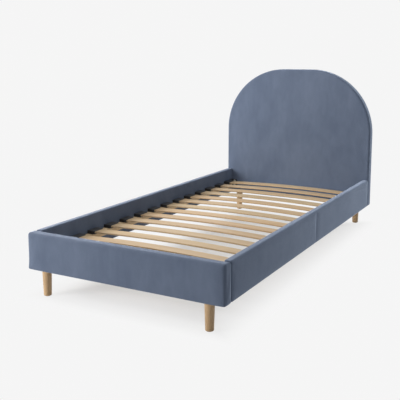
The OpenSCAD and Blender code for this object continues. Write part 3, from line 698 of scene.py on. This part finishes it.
def drive_staple(x, z, turn):
    """A staple through the hem, upright or turned by an angle."""
    bmesh.ops.create_cube(bm, size=1, matrix=Matrix.LocRotScale(
        (x, cloth_high.y + STAPLE.y / 2 - SUNK, z), Quaternion((0, 1, 0), turn), STAPLE))


for side in (-1, 1):
    for k in range(SIDE_GAPS + 1):
        drive_staple(side * side_x, lowest + (spring - lowest) * k / SIDE_GAPS, 0)
    for k in range(1, TURN_GAPS + 1):
        turn = math.pi / 2 * k / TURN_GAPS
        drive_staple(side * (turn_x + (side_x - turn_x) * math.cos(turn)),
                     spring + (top_z - spring) * math.sin(turn), -side * turn)
for k in range(1, TOP_GAPS):
    drive_staple(turn_x * (2 * k / TOP_GAPS - 1), top_z, math.pi / 2)
for k in range(SILL_GAPS + 1):
    drive_staple(sill_end * (2 * k / SILL_GAPS - 1), sill_z, math.pi / 2)
round_edges(bm, 0.0002, 1, lambda e: True)
staples = finish_mesh("back_cloth_staples", bm, smooth=False)
staples.data.materials.append(zinc)
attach(staples, "root")


# Footboard timber: the same build as the headboard, in a low flat box with a thin board on
# both faces.

dress_in_pine("footboard_bottom_rail", "x", 0.060)
dress_in_pine("footboard_top_rail", "x", 0.050, 0.015)
dress_in_pine("footboard_left_post", "z", 0.055, 0.02)
dress_in_pine("footboard_right_post", "z", 0.070, -0.01)
dress_in_pine("footboard_middle_stile", "z", 0.048, 0.01)
dress(plywood("plywood_footboard", "x", (0.88, 0.85, 0.81), BOARD_PALE, BOARD_DARK, ply=0.001),
      "footboard_face_board", "footboard_back_board")


# Footboard padding and upholstery: foam over the front, the top and both ends, and one piece
# of velvet pulled round it all, tightest at the back corners and near the bottom.

core_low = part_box("footboard_face_board")[0]
core_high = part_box("footboard_back_board")[1]


def pressed_on_core(core_low, core_high, thick):
    """Draws a point of the foam towards the boards that it lies on, and rounds its corners."""
    def pressed(point):
        nearest = Vector(min(max(point[k], core_low[k]), core_high[k]) for k in range(3))
        off = point - nearest
        return nearest + off * PRESSED * min(1, thick / max(off.length, 1e-6))
    return pressed


CROWN = 0.003
CROWN_REACH = 0.060

foam_low, foam_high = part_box("footboard_foam")
low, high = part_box("footboard_cover")
on_core = pressed_on_core(core_low, core_high, core_low.y - foam_low.y)


def drawn_back(x):
    """How far the front is drawn back near its two ends, where the cover is pulled round."""
    return CROWN * (max(0, CROWN_REACH - (high.x - abs(x))) / CROWN_REACH) ** 2


def pressed_in_footboard(point):
    moved = on_core(point)
    if moved.y < core_low.y:
        moved.y = min(core_low.y, moved.y + drawn_back(point.x))
    moved.y = min(moved.y, high.y - SHORT_BEHIND)
    return moved


foam_piece("footboard_padding", "footboard_foam", pressed_in_footboard)


def bar(low, high):
    """A plain bar between two corners, still to be rounded and cut into cells."""
    bm = bmesh.new()
    bmesh.ops.create_cube(bm, size=1,
                          matrix=Matrix.LocRotScale((low + high) / 2, None, high - low))
    return bm


def is_upright(edge):
    return is_at(edge.verts[0], 0, edge.verts[1].co.x)


def squared(out, tight):
    """Moves a point of a rounding, seen from its centre, a share of the way to the square."""
    return out * (1 + tight * (out.length / max(out) - 1))


CORNER, TOP_ROUND, BOTTOM_EDGE = 0.018, 0.017, 0.002
TIGHT_FRONT, TIGHT_BOTTOM, TIGHT_BACK, TIGHT_TOP = 0.25, 0.80, 0.85, 0.6
STRAIGHT_BEHIND, CROWNED_AHEAD = 0.020, 0.045

bm = bar(low, high)
middle = (low.y + high.y) / 2
round_edges(bm, CORNER, 7, lambda e: is_upright(e) and is_at(e.verts[0], 1, e.verts[1].co.y))
round_edges(bm, TOP_ROUND, 6, lambda e: all(is_at(v, 2, high.z) for v in e.verts))
round_edges(bm, BOTTOM_EDGE, 2, lambda e: all(is_at(v, 2, low.z) for v in e.verts))
cut_across(bm, 0, between(low.x + CORNER, high.x - CORNER, CELL))
cut_across(bm, 2, between(low.z + 0.003, high.z - TOP_ROUND, CELL))
cut_across(bm, 1, between(low.y + CORNER, high.y - CORNER, CELL))
for vert in bm.verts:
    x, y, z = abs(vert.co.x), vert.co.y, vert.co.z
    back = drawn_back(x) * smooth_step(high.y - y, STRAIGHT_BEHIND, CROWNED_AHEAD)
    face_y = low.y if y < middle else high.y
    upright = Vector((x - high.x + CORNER, CORNER - abs(y - face_y)))
    if min(upright) > 0:
        near_bottom = 1 - smooth_step(z - low.z, 0.004, 0.045)
        in_front = TIGHT_FRONT + (TIGHT_BOTTOM - TIGHT_FRONT) * near_bottom
        upright = squared(upright, in_front if y < middle else TIGHT_BACK)
        x = high.x - CORNER + upright.x
        y = face_y + math.copysign(CORNER - upright.y, middle - face_y)
    end = Vector((x - high.x + TOP_ROUND, z - high.z + TOP_ROUND))
    if min(end) > 0:
        end = squared(end, TIGHT_TOP)
        x, z = high.x - TOP_ROUND + end.x, high.z - TOP_ROUND + end.y
    vert.co = math.copysign(x, vert.co.x), y + back, z
footboard = finish_mesh("footboard_upholstery", bm)
swell(footboard, lambda p: p.y > high.y - 0.002 or p.z < low.z + 0.002, 0.0025)
subdivide(footboard)
upholster(footboard, "footboard_cover")


# Side rails: a solid softwood board with thin foam on its outer face and top, and a velvet
# cover in two lengths, joined by an upright seam half-way. The seam pulls the cover in.

RAIL_CELL = 0.012
OUTSIDE_ROUND, INSIDE_ROUND, UNDER_ROUND, END_ROUND = 0.010, 0.006, 0.003, 0.006
SEAM_REACH, SEAM_IN, SEAM_DOWN = 0.018, 0.0014, 0.0011
SEAM_PRESSED = 0.6
BESIDE_SEAM = (0.0025, 0.006, 0.011, 0.0175)
GATHER_REACH, GATHER_WIDTH, GATHER_DEPTH = 0.009, 0.019, 0.0005

for side, sign in (("left", -1), ("right", 1)):
    dress_in_pine(side + "_rail_board", "y", 0.045 + 0.02 * (sign > 0), 0.03 * sign)
    board_low, board_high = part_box(side + "_rail_board")
    foam_low, foam_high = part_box(side + "_rail_foam")
    beside = pressed_on_core(board_low, board_high, foam_high.z - board_high.z)

    def pressed_at_seam(point):
        near_seam = 1 - smooth_step(abs(point.y), 0.002, SEAM_REACH)
        nearest = Vector(min(max(point[k], board_low[k]), board_high[k]) for k in range(3))
        moved = nearest + (beside(point) - nearest) * (1 - SEAM_PRESSED * near_seam)
        moved.y = max(foam_low.y + SHORT_AT_ENDS, min(foam_high.y - SHORT_AT_ENDS, moved.y))
        return moved

    foam_piece(side + "_rail_padding", side + "_rail_foam", pressed_at_seam,
               cuts=(-SEAM_REACH, -SEAM_REACH / 2, 0, SEAM_REACH / 2, SEAM_REACH))

    low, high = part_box("right_rail_cover")
    bm = bar(low, high)
    for x, radius, segments in ((high.x, OUTSIDE_ROUND, 5), (low.x, INSIDE_ROUND, 4)):
        round_edges(bm, radius, segments, lambda e: all(
            is_at(v, 2, high.z) and is_at(v, 0, x) for v in e.verts))
    round_edges(bm, UNDER_ROUND, 2, lambda e: all(is_at(v, 2, low.z) for v in e.verts)
                and is_upright(e))
    for end in (low.y, high.y):
        round_edges(bm, END_ROUND, 3, lambda e: all(is_at(v, 1, end) for v in e.verts))
    cut_across(bm, 1, [y for y in between(low.y + END_ROUND, high.y - END_ROUND, RAIL_CELL)
                       if abs(y) > SEAM_REACH])
    cut_across(bm, 1, [0.0] + [k * off for off in BESIDE_SEAM for k in (-1, 1)])
    cut_across(bm, 2, between(low.z + UNDER_ROUND, high.z - OUTSIDE_ROUND, RAIL_CELL))
    cut_across(bm, 0, between(low.x + INSIDE_ROUND, high.x - OUTSIDE_ROUND, RAIL_CELL))
    cut_across(bm, 2, between(low.z + UNDER_ROUND, high.z - OUTSIDE_ROUND, RAIL_CELL / 2),
               lambda f: all(abs(v.co.y) < SEAM_REACH + 0.001 for v in f.verts))
    for vert in bm.verts:
        if abs(vert.co.y) < 1e-4 and vert.co.x > low.x + 0.001:
            vert.co.x -= SEAM_IN * (vert.co.x > high.x - 0.008)
            vert.co.z -= SEAM_DOWN * (vert.co.z > high.z - 0.004)
    if sign < 0:
        bmesh.ops.scale(bm, vec=(-1, 1, 1), verts=bm.verts)
    rail = finish_mesh(side + "_rail_upholstery", bm)
    swell(rail, lambda p: (abs(p.x) < low.x + 0.002 or p.z < low.z + 0.002
                           or abs(p.y) > high.y - 0.002 or abs(p.y) < 1e-4), 0.0025)
    subdivide(rail)
    for vert in rail.data.vertices:
        off = abs(vert.co.y)
        gathered = math.exp(-off / GATHER_REACH) * smooth_step(off, 0, 0.003)
        wave = 2 * math.pi * vert.co.z / GATHER_WIDTH
        ripple = math.sin(wave + 1.5 * math.sin(vert.co.z * 60))
        if abs(vert.co.x) > low.x + 0.020:
            vert.co.x += sign * GATHER_DEPTH * gathered * ripple
    upholster(rail, side + "_rail_cover")


# Ledgers: planed softwood battens along the inside of the rails, each held by seven
# countersunk screws.

dress_in_pine("left_ledger", "y", 0.035, 0.01)
dress_in_pine("right_ledger", "y", 0.050, -0.02)
dress(zinc, "ledger_screws")


# Slat holders: black moulded pockets with a peg underneath, pressed into the ledgers. The
# glides under the legs are the same plastic.

def moulded_plastic(name):
    """Black moulded plastic with a fine spark-eroded texture."""
    made, tree, shader, place = new_material(name, 0.5, specular=0.45)
    grain = shader_node(tree, "TexNoise", {"Vector": place, "Scale": 1800.0, "Detail": 2.0})
    flow = shader_node(tree, "TexNoise", {"Vector": place, "Scale": 30.0, "Detail": 2.0})
    tone = ramp(tree, flow.outputs["Fac"], (0.35, (0.016, 0.016, 0.017)),
                (0.65, (0.026, 0.026, 0.028)))
    tree.links.new(tone, shader.inputs["Base Color"])
    shine = shader_node(tree, "MapRange", {"Value": grain.outputs["Fac"], "To Min": 0.42,
                                           "To Max": 0.62})
    tree.links.new(shine.outputs[0], shader.inputs["Roughness"])
    relief(tree, shader, grain.outputs["Fac"], 0.0001, 0.6)
    return made


black_plastic = moulded_plastic("black_plastic")
dress(black_plastic, "left_slat_holders", "right_slat_holders", "leg_glides")


def ease_edges(node, width):
    """Rounds the sharp edges of a CAD node as its mould or tool would."""
    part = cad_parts[node]
    join = part.modifiers.new("join", "WELD")
    join.merge_threshold = 1e-5
    ease = part.modifiers.new("ease", "BEVEL")
    ease.width = width
    ease.segments = 2
    ease.limit_method = "ANGLE"
    ease.angle_limit = math.radians(35)


for node in ("left_slat_holders", "right_slat_holders"):
    ease_edges(node, 0.0006)


# Slats: seven birch veneers glued over a former, so that each slat is bowed, then sanded all
# round and sealed. Their ends spring in the holders.

SLATS, SLAT_THICK, BOW_RADIUS = 14, 0.008, 8.50
VENEERS, SANDED_OFF = 7, 0.2
BIRCH = ((0.30, (0.60, 0.42, 0.24)), (0.55, (0.67, 0.49, 0.29)), (0.75, (0.72, 0.54, 0.335)))
GLUE_LINE, CROSS_PLY = (0.55, 0.42, 0.30), (0.80, 0.74, 0.66)


def bent_birch(name, heart, tone, underside):
    """Birch veneers that follow the bow, which shows on the edges as fine parallel lines. The
    outer two are thinner than the rest by the share that is sanded off."""
    made, tree, shader, place = new_material(name, 0.42, specular=0.4)
    shader.inputs["Coat Weight"].default_value = 0.15
    shader.inputs["Coat Roughness"].default_value = 0.35
    parts = shader_node(tree, "SeparateXYZ", {0: place})
    square = shader_node(tree, "Math", {0: parts.outputs["X"], 1: parts.outputs["X"]},
                         operation="MULTIPLY")
    drop = shader_node(tree, "Math", {0: square.outputs[0], 1: 0.5 / BOW_RADIUS,
                                      2: parts.outputs["Z"]}, operation="MULTIPLY_ADD")
    depth = shader_node(tree, "Math", {0: drop.outputs[0], 1: underside}, operation="SUBTRACT")
    number = shader_node(tree, "Math", {0: depth.outputs[0],
                                        1: (VENEERS - 2 * SANDED_OFF) / SLAT_THICK,
                                        2: SANDED_OFF}, operation="MULTIPLY_ADD")
    share = shader_node(tree, "Math", {0: number.outputs[0]}, operation="FRACT")
    whole = shader_node(tree, "Math", {0: number.outputs[0]}, operation="FLOOR")
    turned = shader_node(tree, "Math", {0: whole.outputs[0], 1: 2}, operation="FLOORED_MODULO")
    glue = ramp(tree, share.outputs[0], (0.0, GLUE_LINE), (0.12, (1.0,) * 3),
                (0.90, (1.0,) * 3), (1.0, GLUE_LINE))
    cross = ramp(tree, turned.outputs[0], (0.0, (1.0,) * 3), (0.45, (1.0,) * 3),
                 (0.55, CROSS_PLY), (1.0, CROSS_PLY))
    shift = shader_node(tree, "VectorMath", {0: place, 1: heart}, operation="SUBTRACT")
    curl = shader_node(tree, "Mapping", {"Vector": shift.outputs[0], "Scale": (2.2, 34, 34),
                                         "Rotation": (0, 0, 0.02)})
    figure = shader_node(tree, "TexNoise", {"Vector": curl.outputs[0], "Scale": 1.0,
                                            "Detail": 4.0, "Distortion": 0.35})
    thin = shader_node(tree, "Mapping", {"Vector": shift.outputs[0], "Scale": (8, 420, 420)})
    fibres = shader_node(tree, "TexNoise", {"Vector": thin.outputs[0], "Scale": 1.0,
                                            "Detail": 3.0})
    face = ramp(tree, figure.outputs["Fac"],
                *((stop, tuple(c * t for c, t in zip(colour, tone))) for stop, colour in BIRCH))
    streaks = ramp(tree, fibres.outputs["Fac"], (0.30, (0.90, 0.88, 0.86)), (0.70, (1.0,) * 3))
    shade = face
    for layer in (streaks, glue, cross):
        shade = shader_node(tree, "MixRGB", {"Fac": 1.0, "Color1": shade, "Color2": layer},
                            blend_type="MULTIPLY").outputs[0]
    tree.links.new(shade, shader.inputs["Base Color"])
    relief(tree, shader, fibres.outputs["Fac"], 0.0002, 0.35)
    return made


for number in range(1, SLATS + 1):
    node = f"slat_{number:02d}"
    low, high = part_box(node)
    middle = (low + high) / 2
    tone = [1 + 0.07 * noise.noise((number * 1.7, k * 0.35, 0.5)) for k in range(3)]
    heart = middle + Vector((0.31 * number, 0.07 * number, 0))
    dress(bent_birch("birch_" + node, heart, tone, high.z - SLAT_THICK), node)


# Legs: turned oak, matt lacquered, thicker at the top. Each has a hanger bolt that runs up
# into a T-nut in the bottom rail, and a nailed glide.

def turned_oak(name, heart):
    """Oak: rings, darker pores drawn out along the grain, and a matt lacquer."""
    made = sawn_wood(name, "z", heart, (0.63, 0.425, 0.235), (0.50, 0.32, 0.165), ring=0.0026,
                     roughness=0.48, fibre=0.16)
    tree = made.node_tree
    shader = tree.nodes["Principled BSDF"]
    shader.inputs["Coat Weight"].default_value = 0.12
    shader.inputs["Coat Roughness"].default_value = 0.4
    place = shader_node(tree, "TexCoord").outputs["Object"]
    long = shader_node(tree, "Mapping", {"Vector": place, "Scale": (900, 900, 45)})
    pores = shader_node(tree, "TexVoronoi", {"Vector": long.outputs[0], "Scale": 1.0})
    dark = ramp(tree, pores.outputs["Distance"], (0.10, (0.62, 0.55, 0.48)), (0.26, (1.0,) * 3))
    before = shader.inputs["Base Color"].links[0].from_socket
    shade = shader_node(tree, "MixRGB", {"Fac": 1.0, "Color1": before, "Color2": dark},
                        blend_type="MULTIPLY")
    tree.links.new(shade.outputs["Color"], shader.inputs["Base Color"])
    return made


for node, aside, depth in (("front_left_leg", 0.006, 0.020), ("front_right_leg", -0.010, 0.028),
                           ("rear_left_leg", 0.012, 0.024), ("rear_right_leg", -0.004, 0.032)):
    dress(turned_oak("oak_" + node, heart_near(node, "z", depth, aside)), node)
dress(zinc, "leg_bolts", "t_nuts")


# Corner brackets: bent steel angles, powder coated black, each held by two bolts with washers
# into the head- or footboard and two into the rail.

def powder_coat(name):
    """Black powder coat with a faint orange peel."""
    made, tree, shader, place = new_material(name, 0.45, specular=0.5)
    peel = shader_node(tree, "TexNoise", {"Vector": place, "Scale": 650.0, "Detail": 1.0})
    cloud = shader_node(tree, "TexNoise", {"Vector": place, "Scale": 40.0, "Detail": 3.0})
    tone = ramp(tree, cloud.outputs["Fac"], (0.35, (0.024, 0.024, 0.026)),
                (0.70, (0.036, 0.036, 0.038)))
    tree.links.new(tone, shader.inputs["Base Color"])
    relief(tree, shader, peel.outputs["Fac"], 0.0003, 0.6)
    return made


black_steel = powder_coat("black_powder_coat")
for node in ("front_left_bracket", "front_right_bracket", "rear_left_bracket",
             "rear_right_bracket"):
    dress(black_steel, node)
    ease_edges(node, 0.0005)
dress(zinc, "board_bolts", "rail_bolts", "bolt_washers")
